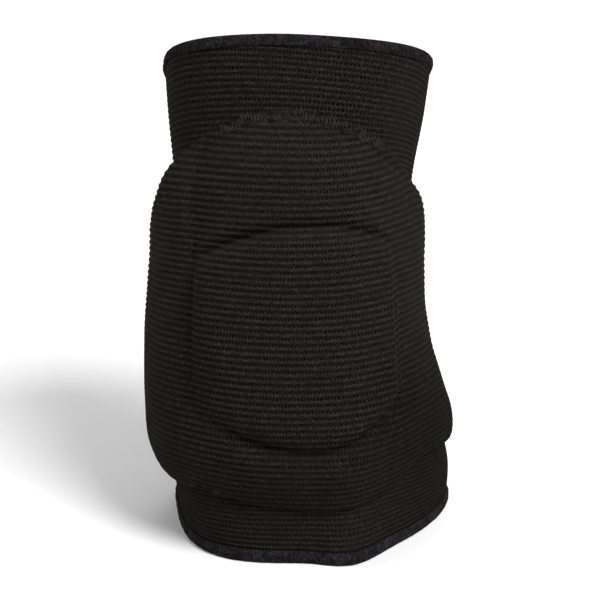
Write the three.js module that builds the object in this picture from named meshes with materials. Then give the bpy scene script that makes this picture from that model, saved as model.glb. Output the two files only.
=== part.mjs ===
// A knitted elbow pad: a bent, open sleeve with five sewn-on pads and a folded tape round each rim.
// Millimetres, +Z up. It stands on the flat underside of its lower tape, with the padding towards -Y.
import * as THREE from 'three';

// Sleeve
const SLEEVE_LENGTH = 153;   // along the middle of the arm, from rim to rim
const HALF_WIDTH = 47;       // middle of the arm to the side of the knit
const FRONT_DEPTH = 42;      // middle of the arm to the front of the knit
const BACK_DEPTH = 30;       // middle of the arm to the back of the knit
const LEAN = 30;             // degrees that the upper rim leans back
const KNIT_WALL = 2.2;
const CORNER_SIDE = 0.21;    // of HALF_WIDTH, right of the middle: the front corner of the lower rim
const CORNER_SPREAD = 0.25;  // of HALF_WIDTH: how far that corner reaches either way

// Rim tapes
const TAPE_THICKNESS = 0.9;
const TAPE_HEIGHT = 4.2;
const TAPE_FOLD = 0.6;       // corner of the fold

// Pads
const UPPER_THICKNESS = 10;
const CENTRE_THICKNESS = 13;
const LOWER_THICKNESS = 10.5;
const LEFT_WING_THICKNESS = 8.5;
const RIGHT_WING_THICKNESS = 6;
const SEWN_EDGE = 1.2;       // thickness of a pad where it is sewn to the knit
const GROOVE_EDGE = 7.5;     // thickness beside a groove across the front
const CREASE_EDGE = 8;       // thickness beside a crease up the front
const ROUNDING = 11;         // how far from its outline a pad reaches full thickness
const GROOVE = 0.6;          // gap between two pads
const CLEARANCE = 0.3;       // gap between a pad or tape and the knit

// Mesh fineness
const AROUND = 44;
const SLEEVE_ROWS = 22;
const PAD_COLUMNS = 14;
const PAD_ROWS = 12;
const WING_COLUMNS = 12;
const WING_ROWS = 18;
const SPINE_STEPS = 120;
const PLACING_ROUNDS = 6;    // rounds that settle a point between the four lines round a pad

// Sections of the outer face of the knit. The angle goes round from the front (0), right side positive.
// share: of SLEEVE_LENGTH. lean: share of LEAN. roll: degrees. left, right: shares of HALF_WIDTH.
// front, corner: shares of FRONT_DEPTH. back: share of BACK_DEPTH. squareLeft, squareRight: 2 is an ellipse.
const SECTIONS = table([
  // share lean  roll  left  right front back squareLeft squareRight corner
  [0.00, 0.00, 0.0, 0.97, 1.00, 1.20, 0.93, 3.2, 1.60, 0.14],
  [0.10, 0.23, 0.5, 1.00, 1.01, 1.14, 0.93, 3.2, 1.75, 0.08],
  [0.22, 0.38, 0.5, 1.00, 0.90, 1.07, 0.97, 2.8, 2.0, 0.02],
  [0.40, 0.53, 0.5, 1.00, 0.74, 1.00, 1.00, 2.4, 2.1, 0],
  [0.60, 0.67, 0.5, 0.94, 0.73, 0.95, 1.07, 2.2, 2.2, 0],
  [0.75, 0.80, 0.0, 0.95, 0.80, 0.90, 1.07, 2.2, 2.3, 0],
  [0.88, 0.90, -1.5, 0.97, 0.90, 0.88, 1.07, 2.2, 2.5, 0],
  [1.00, 1.00, -3.4, 0.98, 0.96, 0.88, 1.07, 2.9, 3.0, 0],
]);

// Lines that cross the padding, as shares of SLEEVE_LENGTH at each angle in degrees.
const CROSS_LINES = table([
  // angle hem  low groove high groove arch
  [-120, 0.135, 0.270, 0.550, 0.700],
  [-90, 0.114, 0.270, 0.550, 0.730],
  [-74, 0.108, 0.270, 0.550, 0.764],
  [-60, 0.106, 0.270, 0.550, 0.812],
  [-50, 0.110, 0.268, 0.555, 0.827],
  [-40, 0.106, 0.258, 0.580, 0.836],
  [-26, 0.091, 0.226, 0.602, 0.845],
  [-10, 0.080, 0.202, 0.616, 0.850],
  [4, 0.080, 0.206, 0.616, 0.840],
  [18, 0.090, 0.238, 0.606, 0.824],
  [30, 0.100, 0.280, 0.591, 0.800],
  [42, 0.128, 0.300, 0.570, 0.778],
  [54, 0.146, 0.300, 0.565, 0.744],
  [75, 0.146, 0.300, 0.565, 0.702],
  [98, 0.140, 0.300, 0.565, 0.685],
  [120, 0.140, 0.300, 0.565, 0.675],
]);

// Lines that run up the padding, as angles in degrees at each share of SLEEVE_LENGTH.
const UPRIGHT_LINES = table([
  // share left back, left crease, right crease, right back
  [0.08, -94, -33, 30, 98],
  [0.20, -111, -37, 33, 112],
  [0.28, -117, -41, 35, 117],
  [0.42, -119, -47, 38, 119],
  [0.55, -116, -51, 36, 116],
  [0.68, -106, -50, 31, 107],
  [0.80, -92, -48, 28, 92],
]);

const PADS = [
  {
    name: 'upper_pad', thickness: UPPER_THICKNESS, columns: PAD_COLUMNS, rows: PAD_ROWS,
    bottom: { line: 'highGroove', edge: GROOVE_EDGE }, top: { line: 'arch', edge: SEWN_EDGE },
    left: { line: 'leftCrease', edge: CREASE_EDGE }, right: { line: 'rightCrease', edge: CREASE_EDGE },
  },
  {
    name: 'centre_pad', thickness: CENTRE_THICKNESS, columns: PAD_COLUMNS, rows: PAD_ROWS,
    bottom: { line: 'lowGroove', edge: GROOVE_EDGE }, top: { line: 'highGroove', edge: GROOVE_EDGE },
    left: { line: 'leftCrease', edge: CREASE_EDGE }, right: { line: 'rightCrease', edge: CREASE_EDGE },
  },
  {
    name: 'lower_pad', thickness: LOWER_THICKNESS, columns: PAD_COLUMNS, rows: PAD_ROWS,
    bottom: { line: 'hem', edge: SEWN_EDGE }, top: { line: 'lowGroove', edge: GROOVE_EDGE },
    left: { line: 'leftCrease', edge: CREASE_EDGE }, right: { line: 'rightCrease', edge: CREASE_EDGE },
  },
  {
    name: 'left_wing_pad', thickness: LEFT_WING_THICKNESS, columns: WING_COLUMNS, rows: WING_ROWS,
    bottom: { line: 'hem', edge: SEWN_EDGE }, top: { line: 'arch', edge: SEWN_EDGE },
    left: { line: 'leftBack', edge: SEWN_EDGE }, right: { line: 'leftCrease', edge: CREASE_EDGE },
  },
  {
    name: 'right_wing_pad', thickness: RIGHT_WING_THICKNESS, columns: WING_COLUMNS, rows: WING_ROWS,
    bottom: { line: 'hem', edge: SEWN_EDGE }, top: { line: 'arch', edge: SEWN_EDGE },
    left: { line: 'rightCrease', edge: CREASE_EDGE }, right: { line: 'rightBack', edge: SEWN_EDGE },
  },
];

const knit = new THREE.MeshStandardMaterial({ color: 0x1d1c19, roughness: 0.95, metalness: 0 });
const padKnit = new THREE.MeshStandardMaterial({ color: 0x22211d, roughness: 0.95, metalness: 0 });
const tape = new THREE.MeshStandardMaterial({ color: 0x262425, roughness: 0.9, metalness: 0 });

// A smooth curve through each column of a table, over its first column.
function table(rows) {
  const places = rows.map((row) => row[0]);
  const values = rows.flatMap((row) => row.slice(1));
  return new THREE.CubicInterpolant(places, values, rows[0].length - 1);
}

function mix(a, b, share) {
  return a + (b - a) * share;
}

// The middle of the arm: points in the YZ plane at even steps, from the lean of the sections.
function makeSpine() {
  const step = SLEEVE_LENGTH / SPINE_STEPS;
  const points = [new THREE.Vector2(0, 0)];
  for (let k = 1; k <= SPINE_STEPS; k += 1) {
    const [lean] = SECTIONS.evaluate((k - 0.5) / SPINE_STEPS);
    const angle = THREE.MathUtils.degToRad(lean * LEAN);
    const last = points[k - 1];
    points.push(new THREE.Vector2(last.x + step * Math.sin(angle), last.y + step * Math.cos(angle)));
  }
  return points;
}

const spine = makeSpine();

function spineAt(share) {
  const place = THREE.MathUtils.clamp(share, 0, 1) * SPINE_STEPS;
  const index = Math.min(Math.floor(place), SPINE_STEPS - 1);
  return spine[index].clone().lerp(spine[index + 1], place - index);
}

// A point at this angle (radians) and share of the length, proud of the outer face of the knit.
function skin(angle, share, proud) {
  const section = SECTIONS.evaluate(share);
  const [leanShare, rollDegrees, left, right, front, back, squareLeft, squareRight, corner] = section;
  const lean = THREE.MathUtils.degToRad(leanShare * LEAN);
  const roll = THREE.MathUtils.degToRad(rollDegrees);
  const sine = Math.sin(angle);
  const cosine = Math.cos(angle);
  const square = sine >= 0 ? squareRight : squareLeft;
  const width = (sine >= 0 ? right : left) * HALF_WIDTH + proud;
  const depth = (cosine >= 0 ? front * FRONT_DEPTH : back * BACK_DEPTH) + proud;
  const reach = (Math.abs(sine) ** square + Math.abs(cosine) ** square) ** (-1 / square);
  const x = width * reach * sine;
  const fromCorner = (x / HALF_WIDTH - CORNER_SIDE) / CORNER_SPREAD;
  const pointed = corner * FRONT_DEPTH * Math.exp(-(fromCorner ** 2)) * Math.max(cosine, 0);
  const forward = depth * reach * cosine + pointed;
  const lift = x * Math.tan(roll);
  const middle = spineAt(share);
  const y = middle.x - forward * Math.cos(lean) + lift * Math.sin(lean);
  const z = middle.y + forward * Math.sin(lean) + lift * Math.cos(lean);
  return new THREE.Vector3(x, y, z);
}

// The share of the length that lies this far along the knit from a rim (0 is the lower, 1 the upper).
function fromRim(angle, rim, distance) {
  const probe = rim === 0 ? 1 / SLEEVE_LENGTH : -1 / SLEEVE_LENGTH;
  const stretch = skin(angle, rim + probe, 0).distanceTo(skin(angle, rim, 0)) / probe;
  return rim + distance / stretch;
}

function closedMesh(name, points, triangles, material) {
  const geometry = new THREE.BufferGeometry().setFromPoints(points);
  geometry.setIndex(triangles);
  geometry.computeVertexNormals();
  const mesh = new THREE.Mesh(geometry, material);
  mesh.name = name;
  return mesh;
}

// A ring round the arm. profile(angle) gives its section as a loop that climbs on the outside.
function ring(name, profile, material) {
  const loops = [];
  for (let i = 0; i < AROUND; i += 1) {
    loops.push(profile((i / AROUND) * 2 * Math.PI));
  }
  const size = loops[0].length;
  const triangles = [];
  for (let i = 0; i < AROUND; i += 1) {
    const here = i * size;
    const next = ((i + 1) % AROUND) * size;
    for (let j = 0; j < size; j += 1) {
      const up = (j + 1) % size;
      triangles.push(here + j, next + j, next + up);
      triangles.push(here + j, next + up, here + up);
    }
  }
  return closedMesh(name, loops.flat(), triangles, material);
}

function makeSleeve() {
  const edge = TAPE_THICKNESS + CLEARANCE;
  const profile = (angle) => {
    const low = fromRim(angle, 0, edge);
    const high = fromRim(angle, 1, edge);
    const outside = [];
    const inside = [];
    for (let k = 0; k <= SLEEVE_ROWS; k += 1) {
      const share = mix(low, high, k / SLEEVE_ROWS);
      outside.push(skin(angle, share, 0));
      inside.unshift(skin(angle, share, -KNIT_WALL));
    }
    return [...outside, ...inside];
  };
  return ring('sleeve', profile, knit);
}

// The tape folded over a rim: a channel with the edge of the knit in it.
function makeBinding(name, rim) {
  const near = CLEARANCE;
  const out = CLEARANCE + TAPE_THICKNESS;
  const inNear = -KNIT_WALL - near;
  const inFar = -KNIT_WALL - out;
  const channel = [
    // distance from the rim, proud
    [0, out - TAPE_FOLD],
    [TAPE_FOLD, out],
    [TAPE_HEIGHT, out],
    [TAPE_HEIGHT, near],
    [TAPE_THICKNESS, near],
    [TAPE_THICKNESS, inNear],
    [TAPE_HEIGHT, inNear],
    [TAPE_HEIGHT, inFar],
    [TAPE_FOLD, inFar],
    [0, inFar + TAPE_FOLD],
  ];
  if (rim === 1) {
    channel.reverse();
  }
  const profile = (angle) => channel.map(([distance, proud]) => skin(angle, fromRim(angle, rim, distance), proud));
  return ring(name, profile, tape);
}

function crossLine(name, angle) {
  const [hem, lowGroove, highGroove, arch] = CROSS_LINES.evaluate(THREE.MathUtils.radToDeg(angle));
  return { hem, lowGroove, highGroove, arch }[name];
}

function uprightLine(name, share) {
  const [leftBack, leftCrease, rightCrease, rightBack] = UPRIGHT_LINES.evaluate(share);
  return THREE.MathUtils.degToRad({ leftBack, leftCrease, rightCrease, rightBack }[name]);
}

// The angle and share of the point at u across and v up a pad, with its outline half a groove in.
function placeOnPad(pad, u, v) {
  const sideways = GROOVE / 2 / HALF_WIDTH;
  const upwards = GROOVE / 2 / SLEEVE_LENGTH;
  let angle = 0;
  let share = 0.5;
  for (let k = 0; k < PLACING_ROUNDS; k += 1) {
    const left = uprightLine(pad.left.line, share) + sideways;
    const right = uprightLine(pad.right.line, share) - sideways;
    angle = mix(left, right, u);
    const bottom = crossLine(pad.bottom.line, angle) + upwards;
    const top = crossLine(pad.top.line, angle) - upwards;
    share = mix(bottom, top, v);
  }
  return { angle, share };
}

// A quarter round, from 0 at the outline to 1 where the pad has its full thickness.
function rise(distance) {
  const inwards = Math.min(distance / ROUNDING, 1);
  return Math.sqrt(1 - (1 - inwards) ** 2);
}

// Thickness of a pad: that of the nearest side at the outline, rising to full thickness inside.
function padHeight(pad, u, v) {
  const width = (placeOnPad(pad, 1, 0.5).angle - placeOnPad(pad, 0, 0.5).angle) * HALF_WIDTH;
  const height = (placeOnPad(pad, 0.5, 1).share - placeOnPad(pad, 0.5, 0).share) * SLEEVE_LENGTH;
  const sides = [
    [u * width, pad.left.edge],
    [(1 - u) * width, pad.right.edge],
    [v * height, pad.bottom.edge],
    [(1 - v) * height, pad.top.edge],
  ];
  let full = 1;
  let weights = 0;
  let edges = 0;
  sides.forEach(([distance, edge]) => {
    const weight = 1 / (distance ** 2 + 1);
    full *= rise(distance);
    weights += weight;
    edges += weight * edge;
  });
  return mix(edges / weights, pad.thickness, full);
}

// Grid lines across a pad, closer together towards its edges.
function eased(index, count) {
  return (1 - Math.cos((index / count) * Math.PI)) / 2;
}

function makePad(pad) {
  const { columns, rows } = pad;
  const over = [];
  const under = [];
  for (let j = 0; j <= rows; j += 1) {
    for (let i = 0; i <= columns; i += 1) {
      const u = eased(i, columns);
      const v = eased(j, rows);
      const { angle, share } = placeOnPad(pad, u, v);
      over.push(skin(angle, share, CLEARANCE + padHeight(pad, u, v)));
      under.push(skin(angle, share, CLEARANCE));
    }
  }
  const below = over.length;
  const at = (i, j) => j * (columns + 1) + i;
  const triangles = [];
  for (let j = 0; j < rows; j += 1) {
    for (let i = 0; i < columns; i += 1) {
      const [a, b, c, d] = [at(i, j), at(i + 1, j), at(i + 1, j + 1), at(i, j + 1)];
      triangles.push(a, b, c, a, c, d);
      triangles.push(below + a, below + c, below + b, below + a, below + d, below + c);
    }
  }
  const wall = (a, b) => triangles.push(a, below + a, below + b, a, below + b, b);
  for (let i = 0; i < columns; i += 1) {
    wall(at(i, 0), at(i + 1, 0));
    wall(at(i + 1, rows), at(i, rows));
  }
  for (let j = 0; j < rows; j += 1) {
    wall(at(columns, j), at(columns, j + 1));
    wall(at(0, j + 1), at(0, j));
  }
  return closedMesh(pad.name, [...over, ...under], triangles, padKnit);
}

const elbowPad = new THREE.Group();
elbowPad.add(makeSleeve());
elbowPad.add(makeBinding('bottom_binding', 0));
elbowPad.add(makeBinding('top_binding', 1));
PADS.forEach((pad) => elbowPad.add(makePad(pad)));

// The origin is the middle of the bounding box, on the surface that the pad stands on.
const bounds = new THREE.Box3().setFromObject(elbowPad, true);
const middle = bounds.getCenter(new THREE.Vector3());
elbowPad.position.set(-middle.x, -middle.y, -bounds.min.z);
elbowPad.updateMatrixWorld(true);

export default elbowPad;
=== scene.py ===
"""A black knitted elbow pad: ribbed sleeve, padded knit cover, folded rim tapes and overlock seams.

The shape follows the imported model's own formulas, in millimetres, and is written to Blender in metres.
Angles go round the arm from its front, positive to the right. Shares go along the sleeve, from 0 at its
lower rim to 1 at its upper one.
"""
import math

import bpy
import numpy as np
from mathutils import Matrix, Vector


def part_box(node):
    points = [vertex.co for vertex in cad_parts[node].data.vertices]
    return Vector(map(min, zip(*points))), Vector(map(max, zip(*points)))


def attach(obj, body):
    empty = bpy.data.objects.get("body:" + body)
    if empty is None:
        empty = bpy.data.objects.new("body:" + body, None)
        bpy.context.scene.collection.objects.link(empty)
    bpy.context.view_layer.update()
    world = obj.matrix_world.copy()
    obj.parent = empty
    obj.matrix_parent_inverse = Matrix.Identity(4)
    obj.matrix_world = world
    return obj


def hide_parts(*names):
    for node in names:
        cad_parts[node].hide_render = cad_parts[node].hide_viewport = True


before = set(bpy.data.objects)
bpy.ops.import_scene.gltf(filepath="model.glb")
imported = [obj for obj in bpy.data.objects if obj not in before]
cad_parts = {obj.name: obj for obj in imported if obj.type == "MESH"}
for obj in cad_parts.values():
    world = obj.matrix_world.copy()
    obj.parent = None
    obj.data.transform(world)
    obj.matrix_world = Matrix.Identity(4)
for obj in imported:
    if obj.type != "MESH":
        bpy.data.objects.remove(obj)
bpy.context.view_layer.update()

MM = 0.001
BODY = "root"

# Sleeve, in millimetres and degrees
SLEEVE_LENGTH = 153.0
HALF_WIDTH = 47.0
FRONT_DEPTH = 42.0
BACK_DEPTH = 30.0
LEAN = 30.0
KNIT_WALL = 2.2
CORNER_SIDE = 0.21        # of the half width, right of the middle: the front corner of the lower rim
CORNER_SPREAD = 0.25      # of the half width: how far that corner reaches either way
CLEARANCE = 0.3
RIM_BOW = 0.8             # how far the upper rim rises in front of its section
RIM_BOW_MIDDLE = -6.0     # degrees
RIM_BOW_SPREAD = 24.0     # degrees either way

# Rim tapes, in millimetres
TAPE_THICKNESS = 0.9
TAPE_HEIGHT = 4.2
TAPE_EDGE = (
    # share of the height, share of the thickness: the tape thins towards its sewn edge
    (1.00, 0.05), (0.94, 0.36), (0.84, 0.64), (0.70, 0.88), (0.55, 1.00),
)
TAPE_LINING = 0.98        # share of the height that the tape's hidden inner face reaches
TAPE_FOLD = 1.6           # how far the fold at the rim bulges
FOLD_STEPS = 17
FOLD_SQUARENESS = 0.55    # power of sine and cosine round the fold: 1 is a half circle
TAPE_CORDS = 1.25         # upright cords on the tape for each stitch of the cover
CORD_HEIGHT = 0.08
CORD_SCALLOP = 0.12       # how far the cords push the sewn edge out
SCALLOP_START = 0.8       # share of the height from which they do
TIGHT_SIDES = 8           # power of the sine: how close to the sides the upper tape is pulled tight
TIGHT_START = 1.5         # how far from the rim that lowers it
TIGHT_LOWER = 0.40        # share of the height lost there
TIGHT_THINNER = 0.35      # thickness lost there

# Padding, in millimetres and degrees
UPPER_THICKNESS = 10.0
CENTRE_THICKNESS = 13.0
LOWER_THICKNESS = 10.5
LEFT_WING_THICKNESS = 9.2
RIGHT_WING_THICKNESS = 6.0
SEWN_EDGE = 0.6           # height of the cover where it is sewn down
GROOVE_EDGE = 6.0         # height of the cover in a groove
ROUNDING = 11.0           # how far from its outline the padding is rounded
GROOVE_ROUNDING = 7.0     # and from a groove
HEM_ROUNDINGS = (
    # angle, how far the cover climbs from the hem
    (-75, 13.5),
    (-45, 22.0),
    (50, 22.0),
    (80, 15.0),
)
HEM_GENTLE = 0.75         # how much of a gentle slope the hem has in front
HEM_GENTLE_REACH = 64.0   # degrees either way from the front
HEM_GENTLE_FADE = 16.0    # degrees
ARCH_SLOPE = 19.0         # how far the cover climbs gently from the front of the arch
ARCH_SLOPE_REACH = 68.0   # degrees either way from the front
ARCH_SLOPE_FADE = 18.0    # degrees
ARCH_START = 0.12         # where on its curve that climb starts
ARCH_FIRST_STEP = 1.5     # how far in it reaches that start
HIGH_NOTCH = 0.4          # how much deeper than its pads' edges the high groove is
HIGH_NOTCH_WIDTH = 1.8
LOW_NOTCH = 0.2
LOW_NOTCH_WIDTH = 2.4
LOW_NOTCH_RIGHT = 2.4     # and how much deeper still at its right end
RIGHT_END_START = 8.0     # degrees
RIGHT_END_SPAN = 16.0     # degrees
RIGHT_END_DROP = 0.3      # how far that end moves down for each millimetre that it is deeper
CENTRE_TURN = 1.6         # how much the centre pad is thinner at its right edge
CENTRE_TURN_REACH = 35.0  # degrees
LEFT_STEP_OUTSIDE = 2.0   # how far outside the left crease its step starts
RIGHT_STEP_DONE = 0.35    # share of the right crease's step that lies outside its line
LEFT_NOTCH_WIDTH = 1.5
UPPER_HOLLOW = 14.0       # how much further in the left notch reaches beside the upper pad
HOLLOW_EASE = (1.0, 3.0)  # how far outside the crease that starts, and over how far it widens
HOLLOW_SHARES = (0.58, 0.08)   # share where it starts, and over how much of the length
RIGHT_NOTCH_INSIDE = 2.8  # how far inside the right crease its notch is deepest
RIGHT_NOTCH_WIDTH = 1.4
RELIEF_ANGLE = 126        # degrees either way that the grid of the padding's height covers
RELIEF_SHARE = 0.92       # and up to where
RELIEF_COLUMNS = 631
RELIEF_ROWS = 691
RELIEF_SOFTENING = 2      # cells of that grid
LEAST_HEIGHT = 0.35       # of the cover over the clearance

# Knit
STITCHES = 300            # stitches of the cover over a whole way round the arm
SLEEVE_STITCHES = 216     # stitches of the sleeve round the arm
RIB_HEIGHT = 0.36
COVER_RIB_HEIGHT = 0.42
INNER_RIB_HEIGHT = 0.15
RIB_MIDDLE = 0.45         # share of a rib's height that lies under the knit's face
RIB_SHARPNESS = 1.3       # power of the wave: over 1 the crests are narrower than the valleys
SLEEVE_RIBS = (
    # share, ribs over a whole sleeve length if all were spaced as they are there
    (0.00, 126), (0.14, 122), (0.30, 104), (0.55, 92), (0.80, 85), (0.91, 82), (1.00, 89),
)
COVER_RIBS = (
    # the same two
    (0.05, 85), (0.15, 84), (0.30, 81), (0.45, 78.5), (0.60, 74.5), (0.72, 70), (0.80, 66), (0.90, 62),
)
SLEEVE_SKEWS = (
    # share, ribs by which the knit is lower on the right side than in the middle
    (0.00, 0.0), (0.30, 0.0), (0.70, 1.0), (0.86, 1.7), (1.00, 1.8),
)
BOW_REACH = 60.0          # degrees either way over which the cover's ribs bow
BOWS = (
    # share, ribs by which the cover's ribs climb to the left and to the right
    (0.05, 1.0, 1.3), (0.30, 1.1, 1.2), (0.50, 1.2, 1.2), (0.70, 1.0, 1.8), (0.85, 0.9, 2.2),
)

# Meshes
ROWS_PER_RIB = 7
SLEEVE_COLUMNS = 108
LINING_ROWS = 130
COVER_COLUMNS = 212
UNDER_ROWS = 40
COVER_REACH = 119.5       # degrees either way
CLOSER_COLUMNS = (
    # degrees, how much closer together the columns are there, degrees either way
    (-48, 1.3, 6), (35, 0.6, 7),
)
TAPE_COLUMNS = 960
SAME_PLACE = 0.0005       # millimetres within which vertices are joined

# Unevenness: how much, the seed of its draws, and about how wide its lumps are in millimetres
SLEEVE_RIB_DRIFT = (0.10, 3, 40)    # in ribs
SLEEVE_SAG = (0.25, 5, 45)
COVER_RIB_DRIFT = (0.12, 11, 38)    # in ribs
COVER_LUMPS = (0.35, 17, 34)
COVER_DENTS = (0.18, 19, 15)
TAPE_LOOSENESS = (0.05, 23, 22)     # as a share of the tape's height
TAPE_NAP = (0.12, 27, 3.2)
SAG_FADE = 8.0            # millimetres from a rim over which the sleeve's sag fades
SEWN_FADE = 3.0           # height of the cover under which its lumps, dents and folds fade
RIPPLE_WAVES = 7
RIPPLE_SIZES = (0.7, 1.6)
RIPPLE_GAIN = 1.8

# Sections of the outer face of the knit: shares of the sizes above, roll in degrees
SECTIONS = (
    # share lean  roll  left  right front back square_left square_right corner
    (0.00, 0.00, 0.0, 0.97, 1.00, 1.20, 0.93, 3.2, 1.60, 0.14),
    (0.10, 0.23, 0.5, 1.00, 1.01, 1.14, 0.93, 3.2, 1.75, 0.08),
    (0.22, 0.38, 0.5, 1.00, 0.90, 1.07, 0.97, 2.8, 2.0, 0.02),
    (0.40, 0.53, 0.5, 1.00, 0.74, 1.00, 1.00, 2.4, 2.1, 0),
    (0.60, 0.67, 0.5, 0.94, 0.73, 0.95, 1.07, 2.2, 2.2, 0),
    (0.75, 0.80, 0.0, 0.95, 0.80, 0.90, 1.07, 2.2, 2.3, 0),
    (0.88, 0.90, -1.5, 0.97, 0.90, 0.88, 1.07, 2.2, 2.5, 0),
    (1.00, 1.00, -3.4, 0.98, 0.96, 0.88, 1.07, 2.9, 3.0, 0),
)

# Lines that cross the padding: shares of the length at each angle
CROSS_LINES = (
    # angle hem low_groove high_groove arch
    (-120, 0.135, 0.270, 0.550, 0.700),
    (-90, 0.120, 0.270, 0.550, 0.716),
    (-74, 0.114, 0.270, 0.550, 0.748),
    (-60, 0.110, 0.270, 0.550, 0.792),
    (-50, 0.112, 0.272, 0.555, 0.812),
    (-40, 0.108, 0.262, 0.580, 0.830),
    (-26, 0.093, 0.221, 0.602, 0.845),
    (-10, 0.083, 0.197, 0.616, 0.850),
    (4, 0.083, 0.197, 0.616, 0.841),
    (18, 0.092, 0.223, 0.606, 0.825),
    (30, 0.102, 0.264, 0.591, 0.800),
    (42, 0.128, 0.296, 0.570, 0.774),
    (54, 0.146, 0.300, 0.565, 0.738),
    (75, 0.146, 0.300, 0.565, 0.694),
    (98, 0.140, 0.300, 0.565, 0.678),
    (120, 0.140, 0.300, 0.565, 0.675),
)

# Lines that run up the padding: angles at each share of the length
UPRIGHT_LINES = (
    # share left_back left_crease right_crease right_back
    (0.08, -94, -33, 30, 98),
    (0.20, -111, -41, 33, 112),
    (0.28, -117, -44, 35, 117),
    (0.42, -119, -46, 38, 119),
    (0.55, -116, -47.5, 37, 116),
    (0.68, -106, -48.5, 31, 107),
    (0.80, -92, -48, 28, 92),
)

# How each crease looks along the padding, in millimetres
CREASE_FORMS = (
    # share, step width and notch depth of the left crease, then of the right crease
    (0.08, 24, 0.0, 24, 0.0),
    (0.24, 22, 0.0, 24, 0.0),
    (0.285, 20, 0.3, 8, 2.4),
    (0.33, 16, 0.8, 6, 3.0),
    (0.42, 12, 1.3, 6, 3.2),
    (0.52, 11, 1.5, 6, 2.8),
    (0.58, 11, 1.7, 8, 1.0),
    (0.66, 11, 2.3, 20, 0.0),
    (0.84, 11, 2.0, 24, 0.0),
)

# Small folds pressed into the cover, in millimetres
FOLDS = (
    # degrees share turn length width depth
    (39, 0.752, -24, 9.0, 2.0, 2.6),
    (27, 0.152, 35, 5.0, 2.2, 1.2),
    (-44, 0.285, -60, 7.0, 3.0, 0.8),
)

# How far the cover's ribs tilt, in degrees, at each share of the length
RIB_TILTS = (
    (0.00, 3.0),
    (0.22, 5.0),
    (0.45, 9.0),
    (0.75, 11.0),
    (1.00, 13.0),
)

# Seams, in degrees and millimetres
SEAMS = (
    # name, line, start, end, how far inside the line its threads reach, pitch, radius, dashes, seed
    ("arch_seam", "arch", -42, 36, (-0.5, 4.2), 2.4, 0.14, True, 31),
    ("hem_seam", "hem", -94, -38, (-0.4, 1.4), 1.7, 0.15, False, 37),
)
THREAD_SIDES = 6
THREAD_TIP = 0.6          # radii by which a thread's end is rounded
THREAD_LIFT = 0.8         # radii from the knit to the middle of a thread
THREAD_STEPS = 6          # points of a thread for each zigzag, and of a dash
ZIGZAG_JITTER = 0.15      # share of the seam's width
ZIGZAG_LIFT = 0.5         # radii by which the threads rise where they cross
DASH_JITTER = 0.08        # share of the pitch
DASH_REACH = 0.42         # share of the pitch either way
DASH_SLANT = 0.45         # millimetres either way
DASH_SLANTS = (0.5, 1.2)  # shares of that between which each is drawn
DASH_SHORT = 0.2          # millimetres back from the far side of the zigzag
DASH_LIFT = 0.8           # radii over the lift of a thread

# Colours
KNIT_DARK = (0.0013, 0.0012, 0.0008, 1)
KNIT_LIGHT = (0.0290, 0.0275, 0.0227, 1)
TAPE_DARK = (0.0022, 0.0019, 0.0022, 1)
TAPE_LIGHT = (0.0280, 0.0263, 0.0306, 1)
TAPE_WARM = (0.0235, 0.0188, 0.0190, 1)
SEWING_DARK = (0.003, 0.0028, 0.0024, 1)
SEWING_LIGHT = (0.033, 0.031, 0.027, 1)
FLOOR_COLOUR = (0.72, 0.72, 0.72, 1)

# Studio, in metres, degrees and watts
CAMERA_AZIMUTH = -5.4
CAMERA_ELEVATION = 19.5
CAMERA_DISTANCE = 1.0
VIEW_WIDTH = 0.204
LOOK_AT = (-3.8, 0.0, 74.5)    # millimetres, in the formulas' own place
WORLD_LIGHT = 0.30
LIGHT_TARGET = (0.0, 0.0, 0.08)
LIGHTS = (
    # name, place, size, power
    ("key", (1.08, -1.05, 1.80), 1.4, 83.0),
    ("fill", (-1.8, 0.50, 0.9), 1.2, 23.0),
    ("top", (0.0, 0.9, 1.7), 1.2, 11.0),
)


def read_table(rows, place):
    """The table's other columns at these places of its first one, on a smooth curve."""
    rows = np.asarray(rows, float)
    x, y = rows[:, 0], rows[:, 1:]
    place = np.clip(np.asarray(place, float), x[0], x[-1])
    slopes = np.diff(y, axis=0) / np.diff(x)[:, None]
    slopes = np.concatenate([slopes[:1], (slopes[1:] + slopes[:-1]) / 2, slopes[-1:]])
    i = np.clip(np.searchsorted(x, place, side="right") - 1, 0, len(x) - 2)
    step = (x[i + 1] - x[i])[..., None]
    u = (place - x[i])[..., None] / step
    value = (2 * u**3 - 3 * u**2 + 1) * y[i] + (u**3 - 2 * u**2 + u) * step * slopes[i]
    value = value + (3 * u**2 - 2 * u**3) * y[i + 1] + (u**3 - u**2) * step * slopes[i + 1]
    return np.moveaxis(value, -1, 0)


def ease(value):
    """0 to 1, smooth at both ends."""
    value = np.clip(value, 0, 1)
    return value**2 * (3 - 2 * value)


def make_spine(steps=400):
    """The middle of the arm: shares, and y and z there."""
    shares = np.linspace(0, 1, steps + 1)
    lean = np.radians(read_table(SECTIONS, (shares[1:] + shares[:-1]) / 2)[0] * LEAN)
    y = np.concatenate([[0], np.cumsum(np.sin(lean))]) * SLEEVE_LENGTH / steps
    z = np.concatenate([[0], np.cumsum(np.cos(lean))]) * SLEEVE_LENGTH / steps
    return shares, y, z


SPINE = make_spine()


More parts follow.
